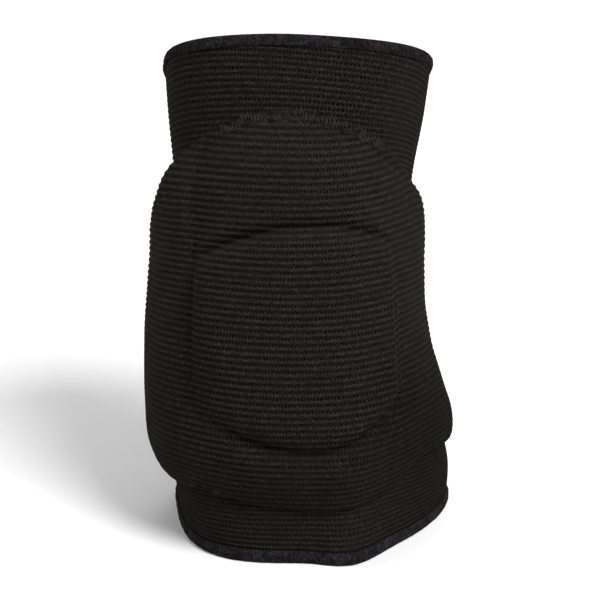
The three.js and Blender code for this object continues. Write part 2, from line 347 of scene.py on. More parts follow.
def raw_skin(angle, share, proud):
    """Points proud of the knit's outer face, where the formulas put them, also past the upper rim."""
    angle, share, proud = np.broadcast_arrays(angle, share, proud)
    lean, roll, left, right, front, back, square_left, square_right, corner = read_table(SECTIONS, share)
    lean = np.radians(lean * LEAN)
    sine, cosine = np.sin(angle), np.cos(angle)
    square = np.where(sine >= 0, square_right, square_left)
    width = np.where(sine >= 0, right, left) * HALF_WIDTH + proud
    depth = np.where(cosine >= 0, front * FRONT_DEPTH, back * BACK_DEPTH) + proud
    reach = (np.abs(sine) ** square + np.abs(cosine) ** square) ** (-1 / square)
    x = width * reach * sine
    from_corner = (x / HALF_WIDTH - CORNER_SIDE) / CORNER_SPREAD
    pointed = corner * FRONT_DEPTH * np.exp(-from_corner**2) * np.maximum(cosine, 0)
    forward = depth * reach * cosine + pointed
    lift = x * np.tan(np.radians(roll))
    past = np.maximum(share - 1, 0) * SLEEVE_LENGTH
    y = np.interp(share, SPINE[0], SPINE[1]) - forward * np.cos(lean) + (lift + past) * np.sin(lean)
    z = np.interp(share, SPINE[0], SPINE[2]) + forward * np.sin(lean) + (lift + past) * np.cos(lean)
    return np.stack([x, y, z], axis=-1)


def frame_shift():
    """From the formulas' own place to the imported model's: the middles of the two sleeves."""
    angle, share = np.meshgrid(np.linspace(-np.pi, np.pi, 361), np.linspace(0, 1, 201))
    points = raw_skin(angle, share, 0).reshape(-1, 3)
    low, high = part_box("sleeve")
    middle = (np.array(low) + np.array(high)) / 2 / MM
    shift = middle - (points.min(0) + points.max(0)) / 2
    return np.array([shift[0], shift[1], 0.0])


SHIFT = frame_shift()


def skin(angle, share, proud):
    """Points in the frame, in millimetres, proud of the outer face of the sleeve's knit."""
    return raw_skin(angle, share, proud) + SHIFT


def make_girth():
    """Angles, and how far round the knit each is from the front, in millimetres."""
    angles = np.linspace(-np.pi, np.pi, 1441)
    points = raw_skin(angles, 0.5, 4.0)
    steps = np.linalg.norm(np.diff(points, axis=0), axis=1)
    round_arm = np.concatenate([[0], np.cumsum(steps)])
    return angles, round_arm - np.interp(0, angles, round_arm)


GIRTH = make_girth()
GIRTH_LENGTH = GIRTH[1][-1] - GIRTH[1][0]


def stitch_at(angle, stitches=STITCHES):
    """Number of the stitch at an angle."""
    return np.interp(angle, GIRTH[0], GIRTH[1]) / GIRTH_LENGTH * stitches


def even_angles(start, end, count):
    """Angles from start to end, evenly spaced round the knit."""
    ends = np.interp([start, end], GIRTH[0], GIRTH[1])
    return np.interp(np.linspace(ends[0], ends[1], count), GIRTH[1], GIRTH[0])


def from_rim(angle, rim, distance):
    """The share of the length that lies this far along the knit from a rim, 0 or 1."""
    if rim == 1:
        from_middle = (np.degrees(angle) - RIM_BOW_MIDDLE) / RIM_BOW_SPREAD
        distance = distance - RIM_BOW * np.exp(-from_middle**2)
    probe = (1 if rim == 0 else -1) / SLEEVE_LENGTH
    stretch = np.linalg.norm(raw_skin(angle, rim + probe, 0) - raw_skin(angle, rim, 0), axis=-1) / probe
    return rim + distance / stretch


def running_count(rows):
    """Shares of the length, and the number of the rib at each, from a table of how close the ribs are."""
    shares = np.linspace(-0.2, 1.2, 1401)
    spacing = read_table(rows, shares)[0]
    steps = (spacing[1:] + spacing[:-1]) / 2 * np.diff(shares)
    count = np.concatenate([[0], np.cumsum(steps)])
    return shares, count - np.interp(0, shares, count)


SLEEVE_COUNT = running_count(SLEEVE_RIBS)
COVER_COUNT = running_count(COVER_RIBS)


def ripple(angle, share, seed, width):
    """A smooth, repeatable unevenness from -1 to 1, in lumps about this many millimetres wide."""
    draw = np.random.default_rng(seed)
    around = np.interp(angle, GIRTH[0], GIRTH[1])
    along = share * SLEEVE_LENGTH
    total = 0.0
    for _ in range(RIPPLE_WAVES):
        turn, phase = draw.uniform(0, 2 * np.pi, 2)
        size = width * draw.uniform(*RIPPLE_SIZES)
        total = total + np.sin((np.cos(turn) * around + np.sin(turn) * along) * 2 * np.pi / size + phase)
    return total / RIPPLE_WAVES * RIPPLE_GAIN


def uneven(kind, angle, share, other=0):
    """One kind of unevenness at these places; another number gives other draws."""
    amount, seed, width = kind
    return amount * ripple(angle, share, seed + other, width)


# Meshes

def add_mesh(name, points, faces, uv=None):
    """A smooth mesh from points in millimetres; faces as arrays of three or four corners."""
    mesh = bpy.data.meshes.new(name)
    corners = [face for group in faces for face in np.asarray(group).tolist()]
    mesh.from_pydata((points * MM).tolist(), [], corners)
    if uv is not None:
        layer = mesh.uv_layers.new(name="knit")
        index = np.empty(len(mesh.loops), dtype=np.int32)
        mesh.loops.foreach_get("vertex_index", index)
        layer.data.foreach_set("uv", uv[index].astype(np.float32).ravel())
    mesh.shade_smooth()
    mesh.validate()
    piece = bpy.data.objects.new(name, mesh)
    bpy.context.scene.collection.objects.link(piece)
    return piece


def grid_faces(index, close_rows=False, close_columns=False):
    """Quads over a grid of vertex numbers, index[row, column]."""
    if close_rows:
        index = np.concatenate([index, index[:1]], axis=0)
    if close_columns:
        index = np.concatenate([index, index[:, :1]], axis=1)
    quads = np.stack([index[:-1, :-1], index[:-1, 1:], index[1:, 1:], index[1:, :-1]], axis=-1)
    return quads.reshape(-1, 4)


def join_places(points):
    """Joins points that lie in one place: the first of each, and each point's number among those."""
    keys = np.round(points / SAME_PLACE).astype(np.int64)
    _, first, number = np.unique(keys, axis=0, return_index=True, return_inverse=True)
    return first, number.reshape(-1)


def drop_flat_faces(quads):
    """The quads that keep four corners, and triangles for those that keep three."""
    kept_quads, kept_triangles = [], []
    for quad in quads.tolist():
        ring = [v for k, v in enumerate(quad) if v != quad[k - 1]]
        if len(ring) == 4 and len(set(ring)) == 4:
            kept_quads.append(ring)
        elif len(ring) == 3 and len(set(ring)) == 3:
            kept_triangles.append(ring)
    return kept_quads, kept_triangles


def zip_strip(a, a_place, b, b_place, flip):
    """Triangles between two lines of vertices that run the same way but have unlike spacing."""
    faces = []
    i = j = 0
    while i < len(a) - 1 or j < len(b) - 1:
        step_a = i < len(a) - 1 and (j == len(b) - 1 or a_place[i + 1] <= b_place[j + 1])
        face = [a[i], a[i + 1], b[j]] if step_a else [a[i], b[j + 1], b[j]]
        i, j = (i + 1, j) if step_a else (i, j + 1)
        if len(set(face)) == 3:
            faces.append([int(v) for v in (face[::-1] if flip else face)])
    return faces


def mend_wrap(piece, stitches):
    """Carries the stitch count on past the last column, so that it doesn't run back across one face."""
    layer = piece.data.uv_layers["knit"]
    uv = np.empty(len(piece.data.loops) * 2, dtype=np.float32)
    layer.data.foreach_get("uv", uv)
    uv = uv.reshape(-1, 4, 2)
    span = uv[:, :, 0].max(axis=1) - uv[:, :, 0].min(axis=1)
    wrapped = span > stitches / 2
    low = uv[:, :, 0] < 0
    uv[:, :, 0] += np.where(wrapped[:, None] & low, stitches, 0)
    layer.data.foreach_set("uv", uv.ravel())


# Sleeve

def rib_wave(rib):
    """1 on the crest of a rib, 0 in its valley, with a narrower crest than a plain wave."""
    wave = 0.5 + 0.5 * np.cos(2 * np.pi * rib)
    return wave**RIB_SHARPNESS


def sleeve_rib_at(angle, share):
    """Number of the sleeve's rib at a place."""
    skew = read_table(SLEEVE_SKEWS, share)[0]
    return np.interp(share, *SLEEVE_COUNT) + skew * np.sin(angle)


def sag_at(angle, share):
    """Slight unevenness of the sleeve, none at its rims."""
    from_end = np.minimum(share, 1 - share) * SLEEVE_LENGTH
    return uneven(SLEEVE_SAG, angle, share) * np.clip(from_end / SAG_FADE, 0, 1)


def build_sleeve():
    """The tube of ribbed knit, inside and out."""
    angles = even_angles(-np.pi, np.pi, SLEEVE_COLUMNS + 1)[:-1]
    edge = TAPE_THICKNESS + CLEARANCE
    low, high = from_rim(angles, 0, edge), from_rim(angles, 1, edge)
    low_count, high_count = np.interp(low, *SLEEVE_COUNT), np.interp(high, *SLEEVE_COUNT)
    out_rows = int(ROWS_PER_RIB * (high_count - low_count).mean())
    up = np.linspace(0, 1, out_rows)[:, None]
    down = np.linspace(1, 0, LINING_ROWS)[:, None]
    out_share = np.interp(low_count + (high_count - low_count) * up, SLEEVE_COUNT[1], SLEEVE_COUNT[0])
    in_share = low + (high - low) * down
    out_rib = sleeve_rib_at(angles, out_share) + uneven(SLEEVE_RIB_DRIFT, angles, out_share)
    in_rib = sleeve_rib_at(angles, in_share)
    out_proud = RIB_HEIGHT * (rib_wave(out_rib) - RIB_MIDDLE) + sag_at(angles, out_share)
    in_proud = sag_at(angles, in_share) - KNIT_WALL + INNER_RIB_HEIGHT * np.cos(np.pi * in_rib)
    points = np.concatenate([
        skin(angles, out_share, out_proud).reshape(-1, 3),
        skin(angles, in_share, in_proud).reshape(-1, 3),
    ])
    rows = out_rows + LINING_ROWS
    stitch = np.broadcast_to(stitch_at(angles, SLEEVE_STITCHES), (rows, SLEEVE_COLUMNS))
    uv = np.stack([stitch, np.concatenate([out_rib, in_rib])], axis=-1).reshape(-1, 2)
    index = np.arange(len(points)).reshape(rows, SLEEVE_COLUMNS)
    piece = add_mesh("knit_sleeve", points, [grid_faces(index, close_rows=True, close_columns=True)], uv)
    mend_wrap(piece, SLEEVE_STITCHES)
    return piece


# Padding

def lines_at(angle, share):
    """Distances in millimetres inside each outer line, and past each inner one, at these places."""
    hem, low_groove, high_groove, arch = read_table(CROSS_LINES, np.degrees(angle))
    left_back, left_crease, right_crease, right_back = np.radians(read_table(UPRIGHT_LINES, share))
    return {
        "hem": (share - hem) * SLEEVE_LENGTH,
        "arch": (arch - share) * SLEEVE_LENGTH,
        "left_back": (angle - left_back) * HALF_WIDTH,
        "right_back": (right_back - angle) * HALF_WIDTH,
        "low_groove": (share - low_groove) * SLEEVE_LENGTH,
        "high_groove": (share - high_groove) * SLEEVE_LENGTH,
        "left_crease": (angle - left_crease) * HALF_WIDTH,
        "right_crease": (angle - right_crease) * HALF_WIDTH,
    }


def rise(distance, rounding):
    """A quarter circle from 0 at a line to 1 where the rounding ends."""
    inwards = np.clip(distance / rounding, 0, 1)
    return np.sqrt(1 - (1 - inwards) ** 2)


def arch_rise(angle, distance):
    """How the padding climbs from the arch: gently in front, as a round edge at the sides."""
    gentle = ease((ARCH_SLOPE_REACH - np.abs(np.degrees(angle))) / ARCH_SLOPE_FADE)
    slope = ease(ARCH_START + (1 - ARCH_START) * np.clip(distance / ARCH_SLOPE, 0, 1))
    slope = slope * np.clip(distance / ARCH_FIRST_STEP, 0, 1)
    return rise(distance, ROUNDING) * (1 - gentle) + slope * gentle


def hem_rise(angle, distance):
    """How the padding climbs from the hem: less steeply in front than at the sides."""
    rounding = read_table(HEM_ROUNDINGS, np.degrees(angle))[0]
    gentle = HEM_GENTLE * ease((HEM_GENTLE_REACH - np.abs(np.degrees(angle))) / HEM_GENTLE_FADE)
    inwards = np.clip(distance / rounding, 0, 1)
    return rise(distance, rounding) * (1 - gentle) + inwards * (2 - inwards) * gentle


def pad_height(sides, thickness):
    """Height of one pad: its sides' edges at the outline, full inside. sides: (distance, edge, rise)."""
    full, weights, edges = 1.0, 0.0, 0.0
    for distance, edge, risen in sides:
        distance = np.maximum(distance, 0)
        weight = 1 / (distance**2 + 1)
        full = full * risen
        weights = weights + weight
        edges = edges + weight * edge
    return edges / weights + (thickness - edges / weights) * full


def dip(distance, width):
    """1 at a line, and less away from it in either direction."""
    return np.exp(-(distance / width) ** 2)


def column_height(angle, low, high, hem, arch):
    """Height of the three middle pads. low and high are the distances past the two grooves."""
    above_high, below_high, above_low, below_low = (
        (distance, GROOVE_EDGE, rise(distance, GROOVE_ROUNDING)) for distance in (high, -high, low, -low)
    )
    degrees = np.degrees(angle)
    turned = CENTRE_TURN * np.clip(degrees / CENTRE_TURN_REACH, 0, 1) ** 2
    upper = pad_height([above_high, arch], UPPER_THICKNESS)
    centre = pad_height([above_low, below_high], CENTRE_THICKNESS - turned)
    lower = pad_height([hem, below_low], LOWER_THICKNESS)
    column = np.where(high > 0, upper, np.where(low > 0, centre, lower))
    column = column - HIGH_NOTCH * dip(high, HIGH_NOTCH_WIDTH)
    deeper = LOW_NOTCH_RIGHT * ease((degrees - RIGHT_END_START) / RIGHT_END_SPAN)
    return column - (LOW_NOTCH + deeper) * dip(low + RIGHT_END_DROP * deeper, LOW_NOTCH_WIDTH)


def padding_height(angle, share):
    """Height of the whole padding over the sleeve, 0 outside it."""
    d = lines_at(angle, share)
    hem = (d["hem"], SEWN_EDGE, hem_rise(angle, d["hem"]))
    arch = (d["arch"], SEWN_EDGE, arch_rise(angle, d["arch"]))
    left_back, right_back = (
        (d[side], SEWN_EDGE, rise(d[side], ROUNDING)) for side in ("left_back", "right_back")
    )
    column = column_height(angle, d["low_groove"], d["high_groove"], hem, arch)
    left = pad_height([hem, arch, left_back], LEFT_WING_THICKNESS)
    right = pad_height([hem, arch, right_back], RIGHT_WING_THICKNESS)
    left_step, left_notch, right_step, right_notch = read_table(CREASE_FORMS, share)
    from_left, from_right = d["left_crease"], -d["right_crease"]
    height = left + (column - left) * ease((from_left + LEFT_STEP_OUTSIDE) / left_step)
    height = height + (right - height) * (1 - ease(from_right / right_step + RIGHT_STEP_DONE))
    outside, widening = HOLLOW_EASE
    start, span = HOLLOW_SHARES
    hollow = UPPER_HOLLOW * ease((from_left + outside) / widening) * ease((share - start) / span)
    height = height - left_notch * dip(from_left, LEFT_NOTCH_WIDTH + hollow) * rise(d["arch"], ROUNDING)
    height = height - right_notch * dip(from_right - RIGHT_NOTCH_INSIDE, RIGHT_NOTCH_WIDTH)
    inside = np.minimum.reduce([d["hem"], d["arch"], d["left_back"], d["right_back"]]) > 0
    return np.where(inside, np.maximum(height, 0.0), 0.0)


def fold_depth(angle, share):
    """How deep the small folds press in."""
    total = 0.0
    for degrees, middle, turn, length, width, depth in FOLDS:
        around = (angle - math.radians(degrees)) * HALF_WIDTH
        along = (share - middle) * SLEEVE_LENGTH
        c, s = math.cos(math.radians(turn)), math.sin(math.radians(turn))
        line, across = around * c + along * s, along * c - around * s
        total = total + depth * np.exp(-(line / length) ** 2 - (across / width) ** 2)
    return total


def soften(field, radius):
    """A small blur along both directions of a grid, radius in cells."""
    reach = np.arange(-3 * radius, 3 * radius + 1)
    weights = np.exp(-0.5 * (reach / radius) ** 2)
    weights /= weights.sum()
    for axis in (0, 1):
        pad = [(0, 0), (0, 0)]
        pad[axis] = (len(reach) // 2, len(reach) // 2)
        wide = np.pad(field, pad, mode="edge")
        field = np.apply_along_axis(lambda line: np.convolve(line, weights, mode="valid"), axis, wide)
    return field


class Relief:
    """The padding's height on a fine grid, with its creases softened as the cloth spans them."""

    def __init__(self):
        self.angles = np.radians(np.linspace(-RELIEF_ANGLE, RELIEF_ANGLE, RELIEF_COLUMNS))
        self.shares = np.linspace(0.0, RELIEF_SHARE, RELIEF_ROWS)
        share, angle = np.meshgrid(self.shares, self.angles, indexing="ij")
        height = padding_height(angle, share)
        folds = fold_depth(angle, share) * ease(height / SEWN_FADE)
        self.field = np.maximum(soften(height, RELIEF_SOFTENING) - folds, 0)

    def at(self, angle, share):
        """The height at these places."""
        last_row, last_column = len(self.shares) - 1.001, len(self.angles) - 1.001
        a = np.clip((angle - self.angles[0]) / (self.angles[1] - self.angles[0]), 0, last_column)
        s = np.clip((share - self.shares[0]) / (self.shares[1] - self.shares[0]), 0, last_row)
        i, j = s.astype(int), a.astype(int)
        u, v = s - i, a - j
        f = self.field
        low = f[i, j] * (1 - v) + f[i, j + 1] * v
        high = f[i + 1, j] * (1 - v) + f[i + 1, j + 1] * v
        return low * (1 - u) + high * u


RELIEF = Relief()


def rib_at(angle, share):
    """Number of the cover's rib at a place: its ribs tilt less than the sleeve's sections."""
    lean, _, _, _, front, back, square_left, square_right, _ = read_table(SECTIONS, share)
    tilt = read_table(RIB_TILTS, share)[0]
    cosine = np.cos(angle)
    depth = np.where(cosine >= 0, front * FRONT_DEPTH, back * BACK_DEPTH)
    square = np.where(np.sin(angle) >= 0, square_right, square_left)
    reach = (np.abs(np.sin(angle)) ** square + np.abs(cosine) ** square) ** (-1 / square)
    drop = np.tan(np.radians(lean * LEAN)) - np.tan(np.radians(tilt))
    level = share + depth * reach * cosine * drop / SLEEVE_LENGTH
    left, right = read_table(BOWS, share)
    outwards = np.clip(np.abs(angle) / math.radians(BOW_REACH), 0, 1)
    bow = np.where(angle < 0, left, right) * np.sin(outwards * np.pi / 2) ** 2
    return np.interp(level, *COVER_COUNT) - bow


def cover_shares(angles):
    """Shares of the length along each rib row of the cover, held at its hem and its arch."""
    fine = np.linspace(0.02, RELIEF_SHARE, 901)
    hem, _, _, arch = read_table(CROSS_LINES, np.degrees(angles))
    ribs = [rib_at(np.full_like(fine, angle), fine) for angle in angles]
    first = min(np.interp(low, fine, rib) for low, rib in zip(hem, ribs))
    last = max(np.interp(high, fine, rib) for high, rib in zip(arch, ribs))
    rows = np.arange(math.floor(first * ROWS_PER_RIB), math.ceil(last * ROWS_PER_RIB) + 1) / ROWS_PER_RIB
    columns = [np.clip(np.interp(rows, rib, fine), low, high) for low, high, rib in zip(hem, arch, ribs)]
    return np.stack(columns, axis=1)


def hold_between_backs(angle, share):
    """Moves places beyond the back lines of the wings onto them."""
    left_back, _, _, right_back = np.radians(read_table(UPRIGHT_LINES, share))
    return np.clip(angle, left_back, right_back)


def cover_angles():
    """Angles across the cover, closer together by the two creases."""
    fine = even_angles(math.radians(-COVER_REACH), math.radians(COVER_REACH), 1001)
    close = 1
    for degrees, closer, spread in CLOSER_COLUMNS:
        close = close + closer * dip(np.degrees(fine) - degrees, spread)
    run = np.concatenate([[0], np.cumsum((close[1:] + close[:-1]) / 2)])
    return np.interp(np.linspace(0, run[-1], COVER_COLUMNS), run, fine)


def build_cover():
    """One knitted cover over all five pads, sewn down along its outline."""
    angles = cover_angles()
    share = cover_shares(angles)
    angle = hold_between_backs(np.broadcast_to(angles, share.shape), share)
    rib = rib_at(angle, share) + uneven(COVER_RIB_DRIFT, angle, share)
    height = RELIEF.at(angle, share)
    sewn = np.clip(height / SEWN_FADE, 0, 1)
    rough = uneven(COVER_LUMPS, angle, share) + uneven(COVER_DENTS, angle, share)
    proud = CLEARANCE + height + sewn * rough + COVER_RIB_HEIGHT * (rib_wave(rib) - RIB_MIDDLE)
    top = skin(angle, share, np.maximum(proud, CLEARANCE + LEAST_HEIGHT))
    under_share = share[0] + (share[-1] - share[0]) * np.linspace(0, 1, UNDER_ROWS)[:, None]
    under_angle = hold_between_backs(np.broadcast_to(angles, under_share.shape), under_share)
    under = skin(under_angle, under_share, CLEARANCE)
    points = np.concatenate([top.reshape(-1, 3), under.reshape(-1, 3)])
    uv = np.concatenate([
        np.stack([stitch_at(angle), rib], axis=-1).reshape(-1, 2),
        np.stack([stitch_at(under_angle), rib_at(under_angle, under_share)], axis=-1).reshape(-1, 2),
    ])
    top_index = np.arange(share.size).reshape(share.shape)
    under_index = np.arange(under_share.size).reshape(under_share.shape) + share.size
    quads = np.concatenate([
        grid_faces(top_index),
        grid_faces(under_index)[:, ::-1],
        grid_faces(np.stack([under_index[0], top_index[0]])),
        grid_faces(np.stack([top_index[-1], under_index[-1]])),
    ])
    first, number = join_places(points)
    kept_quads, triangles = drop_flat_faces(number[quads])
    for side, flip in ((0, True), (-1, False)):
        under_side, top_side = number[under_index[:, side]], number[top_index[:, side]]
        triangles += zip_strip(under_side, under_share[:, side], top_side, share[:, side], flip)
    return add_mesh("padded_cover", points[first], [kept_quads, triangles], uv[first])


# Rim tapes

def tape_profile():
    """Distances from the rim and heights over the knit, round the section of a folded tape."""
    out = CLEARANCE + TAPE_THICKNESS
    far = -KNIT_WALL - out
    middle, half = (out + far) / 2, (out - far) / 2
    fold = []
    for turn in np.linspace(0, np.pi, FOLD_STEPS):
        sine, cosine = np.sin(turn), np.cos(turn)
        swing = np.sign(cosine) * np.abs(cosine) ** FOLD_SQUARENESS
        fold.append((TAPE_FOLD * (1 - sine**FOLD_SQUARENESS), middle + half * swing))
    outside = [(TAPE_HEIGHT * s, CLEARANCE + TAPE_THICKNESS * t) for s, t in TAPE_EDGE]
    inside = [(distance, -KNIT_WALL - proud) for distance, proud in reversed(outside)]
    near, deep, end = CLEARANCE, -KNIT_WALL - CLEARANCE, TAPE_HEIGHT * TAPE_LINING
    lining = [(end, deep), (TAPE_THICKNESS, deep), (TAPE_THICKNESS, near), (end, near)]
    return np.array(outside + fold + inside + lining)


def build_tape(name, rim):
    """The folded tape round a rim, with the fine upright stitches that close it."""
    angles = even_angles(-np.pi, np.pi, TAPE_COLUMNS + 1)[:-1]
    profile = tape_profile()
    distance, proud = profile[:, :1], profile[:, 1:]
    outer = np.clip((proud - CLEARANCE) / TAPE_THICKNESS, 0, 1)
    outer = outer + np.clip((-KNIT_WALL - CLEARANCE - proud) / TAPE_THICKNESS, 0, 1)
    cord = 0.5 + 0.5 * np.cos(2 * np.pi * (stitch_at(angles) * TAPE_CORDS))
    level = np.full_like(angles, float(rim))
    loose = uneven(TAPE_LOOSENESS, angles, level, rim)
    nap = uneven(TAPE_NAP, angles, level + distance / SLEEVE_LENGTH, rim)
    sewn_edge = distance > SCALLOP_START * TAPE_HEIGHT
    distance = distance * (1 + loose) + sewn_edge * CORD_SCALLOP * cord
    side = np.where(proud > -KNIT_WALL / 2, 1.0, -1.0)
    proud = proud + side * outer * (CORD_HEIGHT * cord - CORD_HEIGHT + nap)
    if rim == 1:
        tight = np.abs(np.sin(angles)) ** TIGHT_SIDES
        distance = distance * (1 - TIGHT_LOWER * tight * (distance > TIGHT_START))
        proud = proud - side * outer * TIGHT_THINNER * tight
    share = from_rim(angles, rim, np.maximum(distance, 0))
    points = skin(angles, share, proud)
    index = np.arange(len(profile) * TAPE_COLUMNS).reshape(-1, TAPE_COLUMNS)
    if rim == 0:
        index = index[::-1]
    run = np.cumsum(np.concatenate([[0], np.linalg.norm(np.diff(profile, axis=0), axis=1)]))
    uv = np.stack(np.broadcast_arrays(stitch_at(angles), run[:, None]), axis=-1).reshape(-1, 2)
    faces = grid_faces(index, close_rows=True, close_columns=True)
    piece = add_mesh(name, points.reshape(-1, 3), [faces], uv)
    mend_wrap(piece, STITCHES)
    return piece


# Seams

def thread_mesh(name, paths, normals, radius):
    """Round threads along paths, with rounded-off closed ends."""
    points, quads, triangles = [], [], []
    turns = np.linspace(0, 2 * np.pi, THREAD_SIDES, endpoint=False)
    start = 0
    for path, normal in zip(paths, normals):
        tangent = np.gradient(path, axis=0)
        tangent /= np.linalg.norm(tangent, axis=1, keepdims=True)
        across = np.cross(tangent, normal)
        across /= np.linalg.norm(across, axis=1, keepdims=True)
        up = np.cross(across, tangent)
        ring = up[:, None] * np.cos(turns)[None, :, None] + across[:, None] * np.sin(turns)[None, :, None]
        points.append((path[:, None] + radius * ring).reshape(-1, 3))
        index = np.arange(len(path) * THREAD_SIDES).reshape(-1, THREAD_SIDES) + start
        quads.append(grid_faces(index, close_columns=True))
        tip = start + index.size
        before, after = tangent[0] * radius * THREAD_TIP, tangent[-1] * radius * THREAD_TIP
        points.append(np.stack([path[0] - before, path[-1] + after]))
        for k in range(THREAD_SIDES):
            following = (k + 1) % THREAD_SIDES
            triangles.append([tip, index[0, following], index[0, k]])
            triangles.append([tip + 1, index[-1, k], index[-1, following]])
        start = tip + 2
    return add_mesh(name, np.concatenate(points), [np.concatenate(quads), triangles])


def outward(angle, share, proud):
    """Unit normals of the knit at these places."""
    step = 0.004
    around = skin(angle + step, share, proud) - skin(angle - step, share, proud)
    along = skin(angle, share + step, proud) - skin(angle, share - step, proud)
    normal = np.cross(around, along)
    return normal / np.linalg.norm(normal, axis=-1, keepdims=True)


def seam_points(line, degrees, inside, radius, lift):
    """Places of a thread at these distances inside the arch or the hem, and the knit's normals there."""
    angles = np.radians(degrees)
    column, sign = {"hem": (0, 1), "arch": (3, -1)}[line]
    share = read_table(CROSS_LINES, degrees)[column] + sign * inside / SLEEVE_LENGTH
    under = CLEARANCE + np.maximum(RELIEF.at(angles, share), LEAST_HEIGHT)
    proud = under + radius * (THREAD_LIFT + lift)
    return skin(angles, share, proud), outward(angles, share, proud)


def build_seam(name, line, start, end, reach, pitch, radius, dashes, seed):
    """Two zigzag threads between two distances inside a line of the cover, and a row of slanted stitches."""
    draw = np.random.default_rng(seed)
    near, far = reach
    ends = np.interp(np.radians([start, end]), GIRTH[0], GIRTH[1])
    turns = int((ends[1] - ends[0]) / pitch)
    steps = np.arange(turns * THREAD_STEPS + 1) / THREAD_STEPS
    degrees = np.degrees(even_angles(math.radians(start), math.radians(end), len(steps)))
    threads = []
    for phase in (0.0, 0.5):
        swing = np.abs(((steps + phase) % 1) * 2 - 1)
        jitter = draw.uniform(-ZIGZAG_JITTER, ZIGZAG_JITTER, turns + 2)
        jitter = np.interp(steps, np.arange(turns + 2), jitter)
        inside = near + (far - near) * np.clip(swing + jitter, -0.1, 1.1)
        threads.append(seam_points(line, degrees, inside, radius, ZIGZAG_LIFT * np.sin(np.pi * swing)))
    for turn in range(turns if dashes else 0):
        middle = turn + 0.5 + draw.uniform(-DASH_JITTER, DASH_JITTER)
        along = middle + np.linspace(-DASH_REACH, DASH_REACH, THREAD_STEPS)
        place = np.interp(along, steps, degrees)
        slant = np.linspace(-DASH_SLANT, DASH_SLANT, THREAD_STEPS) * draw.uniform(*DASH_SLANTS)
        threads.append(seam_points(line, place, far - DASH_SHORT + slant, radius, DASH_LIFT))
    paths, normals = zip(*threads)
    return thread_mesh(name, paths, normals, radius)


# Materials

def put(tree, socket, value):
    """Links a node's value to a socket, or sets the socket to a plain number or colour."""
    if isinstance(value, Value):
        tree.links.new(value.socket, socket)
    else:
        socket.default_value = value


class Value:
    """What a node gives at each point of a surface. Reckoning with it adds math nodes."""

    def __init__(self, tree, socket):
        self.tree = tree
        self.socket = socket

    def math(self, operation, *others):
        """The value of a math node with this one as its first input."""
        node = self.tree.nodes.new("ShaderNodeMath")
        node.operation = operation
        for socket, value in zip(node.inputs, (self, *others)):
            put(self.tree, socket, value)
        return Value(self.tree, node.outputs[0])

    def __add__(self, other):
        return self.math("ADD", other)

    def __sub__(self, other):
        return self.math("SUBTRACT", other)

    def __rsub__(self, other):
        return self.math("MULTIPLY_ADD", -1.0, other)

    def __mul__(self, other):
        return self.math("MULTIPLY", other)

    def __pow__(self, other):
        return self.math("POWER", other)

    def __abs__(self):
        return self.math("ABSOLUTE")

    def soft_step(self, none, full):
        """0 where the value is at none, 1 where it is at full, smooth between."""
        node = self.tree.nodes.new("ShaderNodeMapRange")
        node.interpolation_type = "SMOOTHSTEP"
        for name, value in (("Value", self), ("From Min", none), ("From Max", full)):
            put(self.tree, node.inputs[name], value)
        return Value(self.tree, node.outputs["Result"])


class Material:
    """A material on Blender's own shader, with short calls for its nodes."""

    def __init__(self, name):
        self.material = bpy.data.materials.new(name)
        self.material.use_nodes = True
        self.tree = self.material.node_tree
        self.shader = self.tree.nodes["Principled BSDF"]

    def add(self, kind, output, inputs, **settings):
        """Adds a node with these inputs and settings, and gives one of its outputs."""
        node = self.tree.nodes.new(kind)
        for setting, value in settings.items():
            setattr(node, setting, value)
        for socket, value in inputs.items():
            put(self.tree, node.inputs[socket], value)
        return Value(self.tree, node.outputs[output])

    def place(self):
        """The place on the piece, in metres."""
        return self.add("ShaderNodeTexCoord", "Object", {})

    def uv(self, axis):
        """The number of the stitch, axis 0, or of the rib, axis 1, from the piece's UV layer."""
        uv = self.add("ShaderNodeUVMap", "UV", {}, uv_map="knit")
        return self.add("ShaderNodeSeparateXYZ", axis, {0: uv})

    def noise(self, place, scale, detail=2.0):
        return self.add("ShaderNodeTexNoise", "Fac", {"Vector": place, "Scale": scale, "Detail": detail})

    def random(self, a, b):
        """A number from 0 to 1 for each pair of whole numbers."""
        pair = self.add("ShaderNodeCombineXYZ", 0, {0: a, 1: b})
        return self.add("ShaderNodeTexWhiteNoise", "Value", {"Vector": pair}, noise_dimensions="2D")

    def mix(self, share, a, b):
        """A colour between two others."""
        return self.add("ShaderNodeMix", 2, {0: share, 6: a, 7: b}, data_type="RGBA")

    def bump(self, height, strength, distance):
        inputs = {"Height": height, "Strength": strength, "Distance": distance}
        return self.add("ShaderNodeBump", "Normal", inputs)

    def finish(self, sockets):
        """Sets the shader's sockets, and gives the material."""
        for name, value in sockets.items():
            put(self.tree, self.shader.inputs[name], value)
        return self.material


